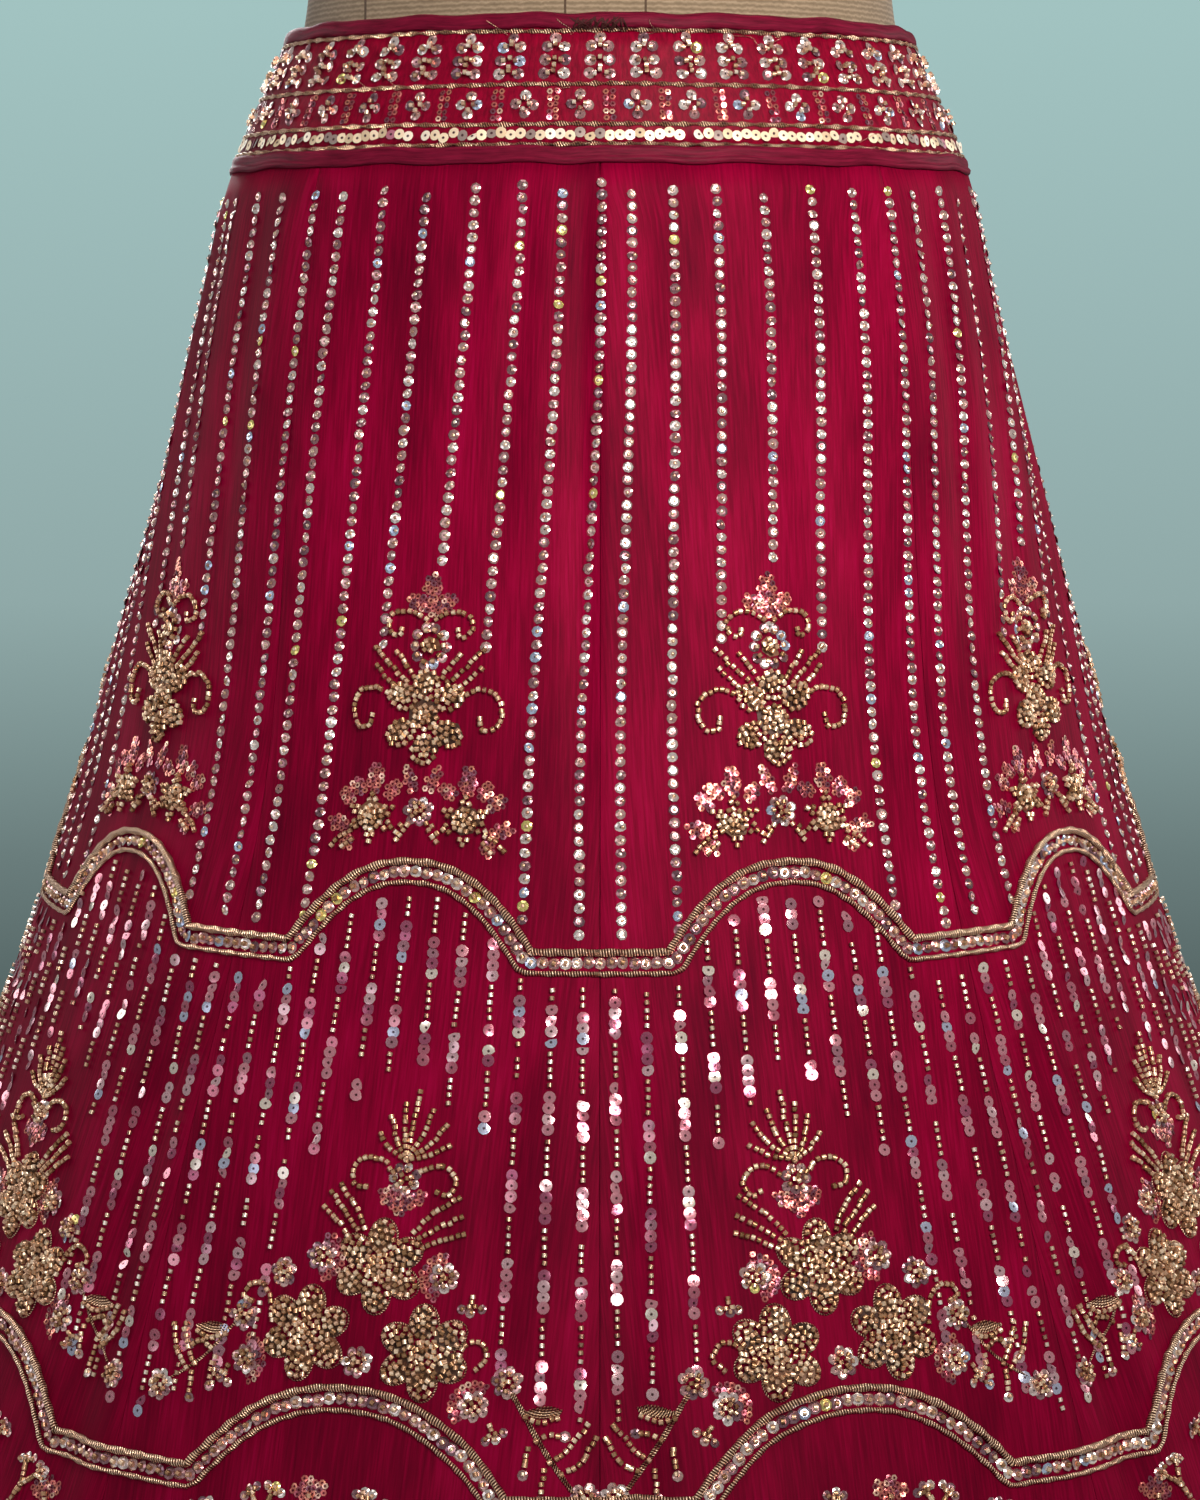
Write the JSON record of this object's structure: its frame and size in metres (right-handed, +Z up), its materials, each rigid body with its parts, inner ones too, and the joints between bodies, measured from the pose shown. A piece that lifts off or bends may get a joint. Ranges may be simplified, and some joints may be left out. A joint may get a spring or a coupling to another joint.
{
  "type": "lehenga skirt on a dress form",
  "caption": "Floor-length flared lehenga skirt in crimson net with sequin and bead embroidery, fitted waistband and satin bindings, on a limbless dress form and stand.",
  "frame": {"origin": "centre of the stand's base on the floor", "axes": "+Z up, the skirt's front towards -Y, the wearer's left towards +X"},
  "size_m": [1.028, 0.9445, 1.57],
  "materials": {
    "crimson_net": "satin",
    "maroon_satin": "satin",
    "embroidered_band": "satin",
    "zip_tape": "matte",
    "zip_metal": "satin",
    "linen": "matte",
    "dark_wood": "satin",
    "black_steel": "satin",
    "cast_iron": "satin"
  },
  "bodies": {
    "root": {"panel_01": "crimson_net", "panel_02": "crimson_net", "panel_03": "crimson_net", "panel_04": "crimson_net", "panel_05": "crimson_net", "panel_06": "crimson_net", "panel_07": "crimson_net", "panel_08": "crimson_net", "panel_09": "crimson_net", "panel_10": "crimson_net", "waistband": "embroidered_band", "waist_binding": "maroon_satin", "band_lower_binding": "maroon_satin", "zip_tape": "zip_tape", "zip_pull": "zip_metal", "form_torso": "linen", "neck_cap": "dark_wood", "form_collar": "black_steel", "stand_pole": "black_steel", "stand_base": "cast_iron"}
  },
  "joints": []
}
